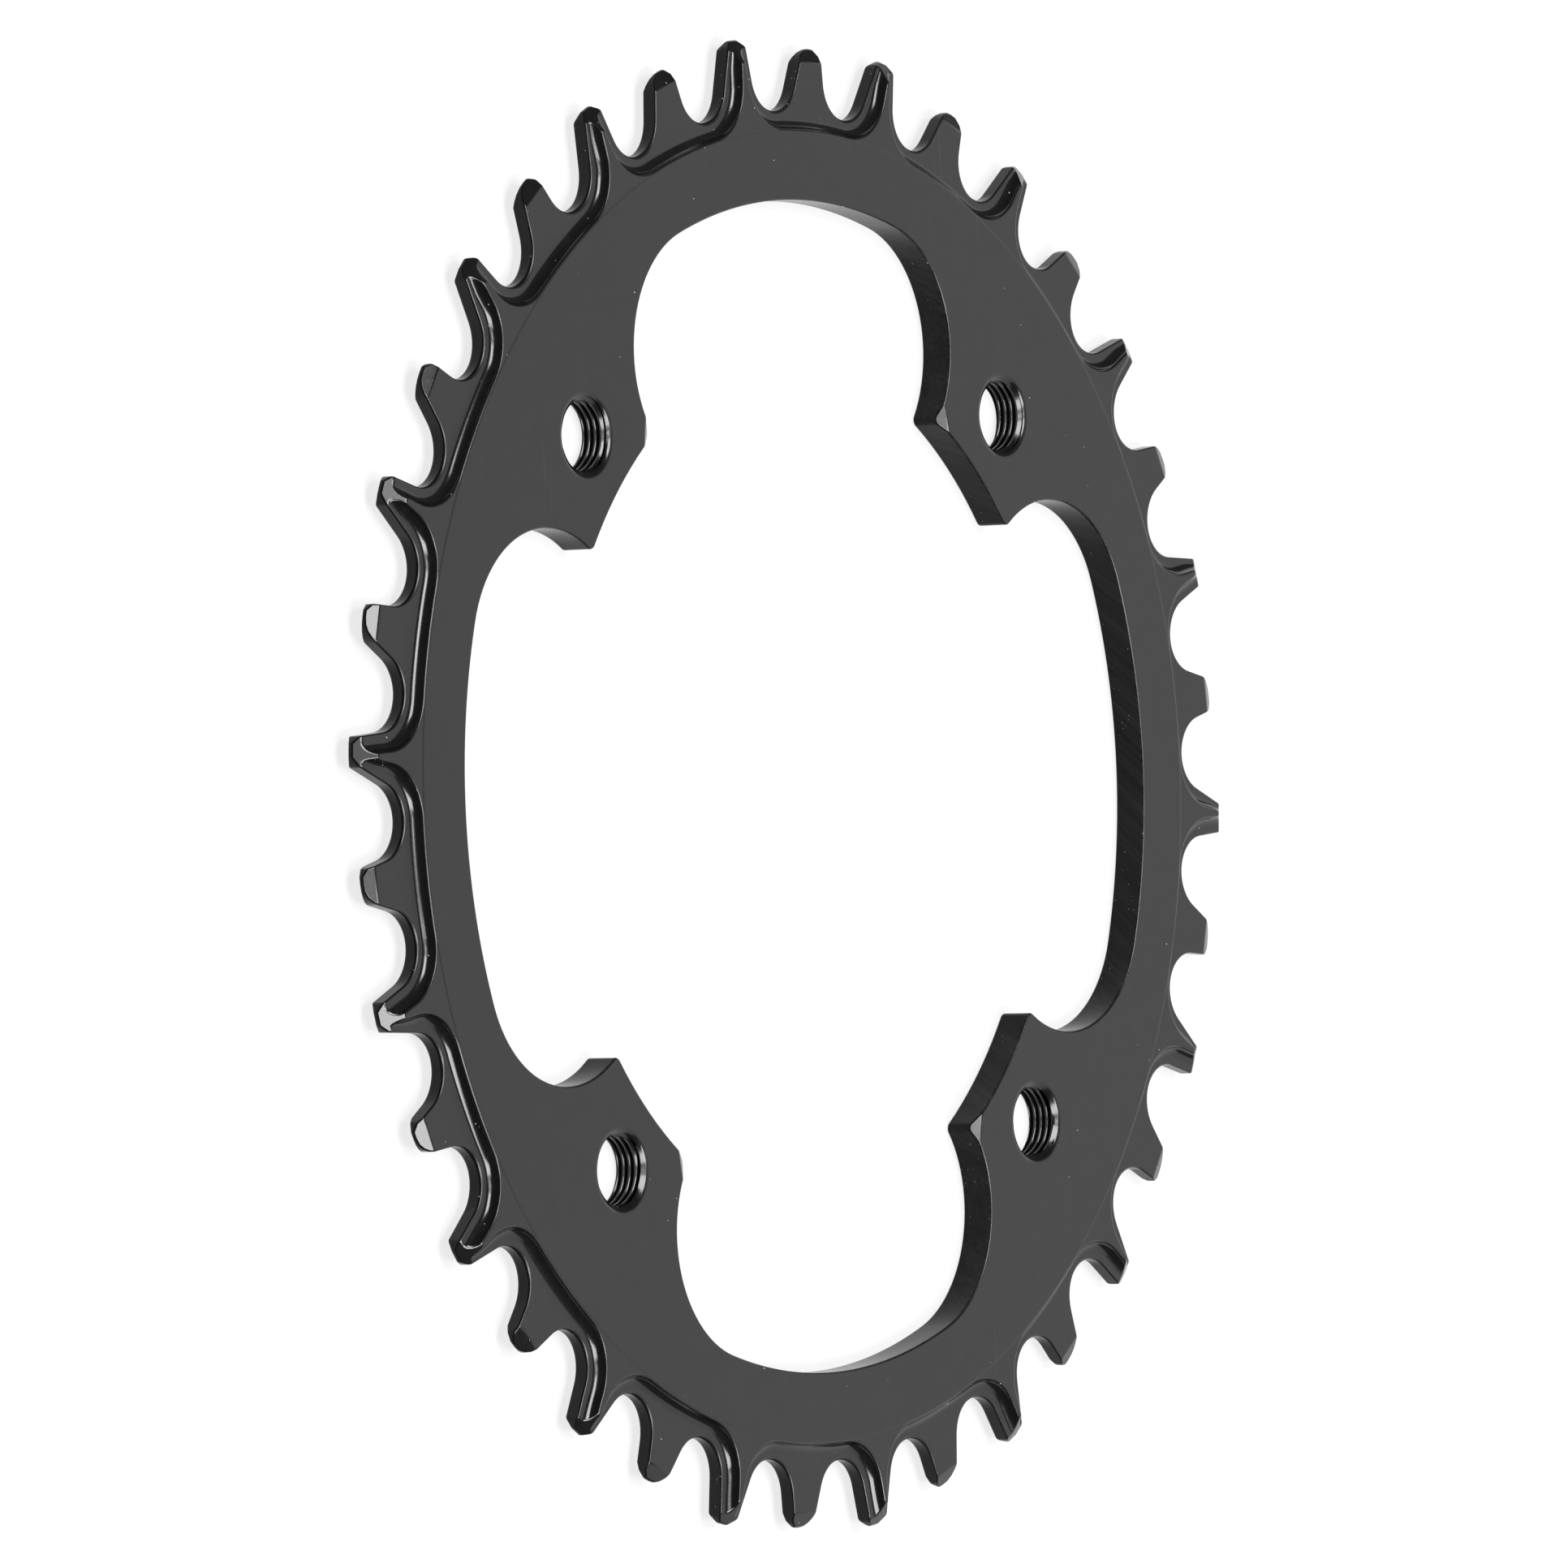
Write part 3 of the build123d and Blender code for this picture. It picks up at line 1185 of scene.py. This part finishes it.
@dataclass(frozen=True)
class Specks:
    """Scattered specks of dust and tiny nicks, in cells for each metre and shares of a cell."""

    spread: float = 3000.0
    smallest: float = 0.08
    growth: float = 0.14
    warp: float = 0.00008
    warp_scale: float = 9000.0
    drift_scale: float = 90.0
    drift: tuple[float, float] = (0.38, 0.66)

    def build(self) -> NodeTree:
        """Builds the group.

        Returns:
            The group, with output Mask.
        """
        sheet, given, result = start_group("dust_specks", {"Amount": 0.1}, ("Mask",))
        place = given.outputs["Place"]
        warp = sheet.node("ShaderNodeTexNoise", {"Vector": place, "Scale": self.warp_scale}).outputs[1]
        inputs = {0: warp, 1: (self.warp,) * 3, 2: place}
        warped = sheet.node("ShaderNodeVectorMath", inputs, operation="MULTIPLY_ADD").outputs[0]
        cells = sheet.node("ShaderNodeTexVoronoi", {"Vector": warped, "Scale": self.spread})
        chance = sheet.node("ShaderNodeSeparateColor", {0: cells.outputs["Color"]})
        size = sheet.math("MULTIPLY", chance.outputs[1], self.growth)
        dot = sheet.math("LESS_THAN", cells.outputs["Distance"], sheet.math("ADD", size, self.smallest))
        drift = sheet.ramp(sheet.noise(place, self.drift_scale), *self.drift)
        amount = sheet.math("MULTIPLY", drift, given.outputs["Amount"])
        chosen = sheet.math("LESS_THAN", chance.outputs[0], amount)
        sheet.tree.links.new(sheet.math("MULTIPLY", dot, chosen), result.inputs["Mask"])
        return sheet.tree


@dataclass(frozen=True)
class Scratches:
    """Faint hairline scratches that run two ways, each given by its angle, stretch and patches."""

    lines: tuple[tuple[float, float, float], ...] = ((0.4, 0.02, 50.0), (1.9, 0.03, 87.5))
    fineness: float = 2200.0
    edge: tuple[float, float] = (0.72, 0.8)
    patch_edge: tuple[float, float] = (0.5, 0.7)

    def build(self) -> NodeTree:
        """Builds the group.

        Returns:
            The group, with output Mask.
        """
        sheet, given, result = start_group("hairline_scratches", {"Amount": 0.5}, ("Mask",))
        place = given.outputs["Place"]
        total: Any = 0.0
        for angle, stretch, patches in self.lines:
            inputs = {"Vector": place, "Rotation": (0.0, 0.0, angle), "Scale": (1.0, stretch, 1.0)}
            turned = sheet.node("ShaderNodeMapping", inputs).outputs[0]
            hair = sheet.ramp(sheet.noise(turned, self.fineness, 1.0), *self.edge)
            patch = sheet.ramp(sheet.noise(place, patches, 1.0), *self.patch_edge)
            total = sheet.math("ADD", total, sheet.math("MULTIPLY", hair, patch))
        mask = sheet.math("MULTIPLY", total, given.outputs["Amount"], clamp=True)
        sheet.tree.links.new(mask, result.inputs["Mask"])
        return sheet.tree


@dataclass(frozen=True)
class Effects:
    """Shader node groups that the finishes share."""

    grain: NodeTree
    milling: NodeTree
    specks: NodeTree
    scratches: NodeTree

    @classmethod
    def build(cls) -> Effects:
        """Builds every group once."""
        return cls(*(kind().build() for kind in (Grain, Milling, Specks, Scratches)))


@dataclass(frozen=True)
class Anodise:
    """Black anodised finish of one kind of surface."""

    name: str
    dark: tuple[float, float, float] = (0.004, 0.004, 0.0042)
    light: tuple[float, float, float] = (0.008, 0.008, 0.0082)
    roughness: tuple[float, float] = (0.16, 0.24)
    grain_height: float = 0.0005
    milling_height: float = 0.0
    speck_amount: float = 0.02
    scratch_amount: float = 0.01
    step_depth: float = 0.0
    step_radius: float = 66.8
    step_width: float = 0.4
    specular: float = 0.5
    dust: tuple[float, float, float] = (0.55, 0.55, 0.54)
    grain_share: float = 0.6
    tone_range: tuple[float, float] = (0.3, 0.9)
    rough_range: tuple[float, float] = (0.2, 1.0)

    def turned_step(self, sheet: Sheet, place: NodeSocket) -> NodeSocket:
        """Adds the fine step that is turned into the ring's face near the teeth.

        Args:
            sheet: Sheet of the material.
            place: Socket of the coordinates.

        Returns:
            Socket of the step's depth in metres.
        """
        split = sheet.node("ShaderNodeSeparateXYZ", {0: place})
        flat = sheet.node("ShaderNodeCombineXYZ", {0: split.outputs["X"], 1: split.outputs["Y"]}).outputs[0]
        radius = sheet.node("ShaderNodeVectorMath", {0: flat}, operation="LENGTH").outputs["Value"]
        start = self.step_radius - self.step_width / 2
        outside = sheet.ramp(radius, start * MM, (start + self.step_width) * MM)
        return sheet.math("MULTIPLY", outside, self.step_depth * MM)

    def build(self, effects: Effects) -> Material:
        """Builds the material.

        Args:
            effects: Shared node groups.

        Returns:
            The material.
        """
        material = bpy.data.materials.new(self.name)
        material.use_nodes = True
        sheet = Sheet(material.node_tree)
        place = sheet.node("ShaderNodeTexCoord").outputs["Object"]
        grain = sheet.node("ShaderNodeGroup", node_tree=effects.grain)
        milling = sheet.node("ShaderNodeGroup", node_tree=effects.milling)
        specks = sheet.node("ShaderNodeGroup", node_tree=effects.specks)
        scratches = sheet.node("ShaderNodeGroup", node_tree=effects.scratches)
        for group in (grain, milling, specks, scratches):
            sheet.tree.links.new(place, group.inputs["Place"])
        specks.inputs["Amount"].default_value = self.speck_amount
        scratches.inputs["Amount"].default_value = self.scratch_amount

        cloud = sheet.math("MULTIPLY", grain.outputs["Tone"], self.grain_share)
        tone = sheet.math("ADD", cloud, milling.outputs["Tone"])
        colour = sheet.mix(sheet.ramp(tone, *self.tone_range), (*self.dark, 1.0), (*self.light, 1.0))
        colour = sheet.mix(scratches.outputs["Mask"], colour, (*self.dust, 1.0))
        colour = sheet.mix(specks.outputs["Mask"], colour, (*self.dust, 1.0))

        inputs = {"Value": tone, "From Min": self.rough_range[0], "From Max": self.rough_range[1]}
        inputs |= {"To Min": self.roughness[0], "To Max": self.roughness[1]}
        roughness = sheet.node("ShaderNodeMapRange", inputs).outputs[0]
        height = sheet.math(
            "ADD",
            sheet.math("MULTIPLY", grain.outputs["Height"], self.grain_height * MM),
            sheet.math("MULTIPLY", milling.outputs["Height"], self.milling_height * MM),
        )
        if self.step_depth:
            height = sheet.math("SUBTRACT", height, self.turned_step(sheet, place))
        bump = sheet.node("ShaderNodeBump", {"Height": height, "Distance": 1.0})
        inputs = {"Base Color": colour, "Roughness": roughness, "Normal": bump.outputs[0]}
        inputs["Specular IOR Level"] = self.specular
        shader = sheet.node("ShaderNodeBsdfPrincipled", inputs)
        sheet.node("ShaderNodeOutputMaterial", {"Surface": shader.outputs[0]})
        return material


FINISHES: dict[Surface, Anodise] = {
    Surface.FACE: Anodise(
        name="anodised_face",
        dark=(0.0055, 0.0055, 0.0057),
        light=(0.0085, 0.0085, 0.0087),
        roughness=(0.26, 0.31),
        grain_height=0.001,
        speck_amount=0.005,
        scratch_amount=0.02,
        step_depth=0.03,
    ),
    Surface.COVE: Anodise(
        name="anodised_cove",
        roughness=(0.13, 0.19),
        grain_height=0.0004,
        milling_height=0.0006,
        speck_amount=0.04,
    ),
    Surface.TOOTH_WALL: Anodise(
        name="anodised_tooth_wall",
        milling_height=0.001,
        speck_amount=0.14,
        specular=0.22,
    ),
    # The window walls' milling streaks are real bumps with painted sheen: the wide spread from dark to light
    # colour paints the glints that the cutter marks catch.
    Surface.WINDOW_WALL: Anodise(
        name="anodised_window_wall_painted_sheen",
        dark=(0.001, 0.001, 0.0011),
        light=(0.05, 0.05, 0.051),
        roughness=(0.12, 0.24),
        milling_height=0.016,
        speck_amount=0.22,
        scratch_amount=0.03,
        specular=0.13,
    ),
    Surface.TIP: Anodise(
        name="anodised_tip",
        dark=(0.005, 0.005, 0.0052),
        light=(0.009, 0.009, 0.0092),
        roughness=(0.12, 0.17),
        milling_height=0.0006,
        speck_amount=0.03,
    ),
    Surface.THREAD: Anodise(
        name="anodised_thread",
        dark=(0.003, 0.003, 0.0031),
        light=(0.006, 0.006, 0.0061),
        roughness=(0.14, 0.2),
        grain_height=0.0003,
        scratch_amount=0.0,
    ),
}


@dataclass(frozen=True)
class LightBank:
    """Soft rectangular lamp that points at the ring, in metres and watts."""

    name: str
    place: tuple[float, float, float]
    size: tuple[float, float]
    power: float

    def build(self) -> None:
        """Hangs the lamp."""
        lamp = bpy.data.lights.new(self.name, "AREA")
        lamp.shape = "RECTANGLE"
        lamp.size, lamp.size_y = self.size
        lamp.energy = self.power
        holder = bpy.data.objects.new(self.name, lamp)
        holder.location = self.place
        holder.rotation_euler = (-Vector(self.place)).to_track_quat("-Z", "Y").to_euler()
        bpy.context.scene.collection.objects.link(holder)


@dataclass(frozen=True)
class Viewpoint:
    """Camera as it stood for the photograph, in millimetres and degrees."""

    target: tuple[float, float, float] = (-5.5, 0.46, 3.42)
    distance: float = 1463.8
    azimuth: float = 178.29
    elevation: float = 35.36
    roll: float = 88.21
    lens: float = 330.6
    sensor: float = 36.0

    def build(self) -> None:
        """Sets up the camera."""
        data = bpy.data.cameras.new("camera")
        data.lens = self.lens
        data.sensor_width = self.sensor
        data.clip_end = 10 * self.distance * MM
        camera = bpy.data.objects.new("camera", data)
        flat = cos(radians(self.elevation))
        back = polar(flat, self.azimuth, sin(radians(self.elevation)))
        right = UP.cross(back).normalized()
        above = back.cross(right)
        level = Matrix((right, above, back)).transposed()
        rolled = level @ Matrix.Rotation(radians(self.roll), 3, "Z")
        camera.matrix_world = rolled.to_4x4()
        camera.location = (Vector(self.target) + self.distance * back) * MM
        bpy.context.scene.collection.objects.link(camera)
        bpy.context.scene.camera = camera


@dataclass(frozen=True)
class Studio:
    """Pale floor, dim surroundings, banks and panels overhead and a white board behind, in metres."""

    floor_radius: float = 20.0
    floor_tone: float = 0.15
    floor_lift: float = 0.8
    ambient: float = 0.1
    banks: tuple[LightBank, ...] = (
        LightBank("upper_bank", (0.2, 1.1, 4.06), (1.6, 1.5), 110.0),
        LightBank("lower_bank", (0.15, -1.22, 4.05), (2.7, 1.05), 125.0),
        LightBank("middle_panel", (-0.05, -0.1, 4.1), (2.7, 1.1), 22.0),
        LightBank("small_panel", (-0.09, -0.1, 4.0), (0.5, 0.34), 8.0),
        LightBank("white_board", (3.5, -0.94, 1.69), (5.0, 3.6), 46.0),
    )

    def seen(self, sheet: Sheet) -> NodeSocket:
        """Share of 1 where the eye, a reflection or clear glass looks at a surface.

        Args:
            sheet: Sheet of the material.

        Returns:
            Socket of the share.
        """
        path = sheet.node("ShaderNodeLightPath").outputs
        direct = sheet.math("MAXIMUM", path["Is Camera Ray"], path["Is Glossy Ray"])
        return sheet.math("MAXIMUM", direct, path["Is Transmission Ray"])

    def build_floor(self) -> None:
        """Lays the floor under the ring."""
        mesh = bmesh.new()
        bmesh.ops.create_circle(mesh, cap_ends=True, segments=64, radius=self.floor_radius)
        data = bpy.data.meshes.new("floor")
        mesh.to_mesh(data)
        mesh.free()
        floor = bpy.data.objects.new("floor", data)
        bpy.context.scene.collection.objects.link(floor)
        material = bpy.data.materials.new("pale_floor")
        material.use_nodes = True
        sheet = Sheet(material.node_tree)
        tone = (self.floor_tone, self.floor_tone, self.floor_tone, 1.0)
        matt = sheet.node("ShaderNodeBsdfDiffuse", {"Color": tone})
        lift = sheet.math("MULTIPLY", self.seen(sheet), self.floor_lift)
        glow = sheet.node("ShaderNodeEmission", {"Strength": lift})
        both = sheet.node("ShaderNodeAddShader", {0: matt.outputs[0], 1: glow.outputs[0]})
        sheet.node("ShaderNodeOutputMaterial", {"Surface": both.outputs[0]})
        data.materials.append(material)

    def build_world(self) -> None:
        """Makes the room round the ring dim."""
        world = bpy.data.worlds.new("dim_studio")
        world.use_nodes = True
        sheet = Sheet(world.node_tree)
        sky = sheet.node("ShaderNodeBackground", {"Color": (1.0, 1.0, 1.0, 1.0), "Strength": self.ambient})
        sheet.node("ShaderNodeOutputWorld", {"Surface": sky.outputs[0]})
        bpy.context.scene.world = world

    def build(self) -> None:
        """Builds the floor, the surroundings and the lamps."""
        self.build_floor()
        self.build_world()
        for bank in self.banks:
            bank.build()
        bpy.context.scene.view_settings.view_transform = "Standard"


def ring_from_frame(frame: dict[str, Any]) -> Chainring:
    """Takes the ring's thickness and bolt holes from the frame.

    Args:
        frame: The loaded frame.

    Returns:
        The ring, not yet built.
    """
    low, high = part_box(NODE)
    mounts = frame["record"]["mounts"]
    bolts = next(mount["dims"] for mount in mounts if mount["kind"] == "bolt_pattern")
    thickness = (high.z - low.z) / MM
    return Chainring(thickness, bolts["pcd_mm"] / 2, int(bolts["count"]), bolts["hole_r_mm"])


def main() -> None:
    """Builds the ring, its finish and its stage."""
    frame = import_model()
    ring = ring_from_frame(frame)
    piece = ring.build()
    ring.dress(piece, Effects.build())
    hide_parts(NODE)
    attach(piece, BODY)
    log.info("%s: %d faces", piece.name, len(piece.data.polygons))
    Studio().build()
    Viewpoint().build()


if __name__ == "__main__":
    logging.basicConfig(level=logging.INFO, format="%(message)s")
    main()
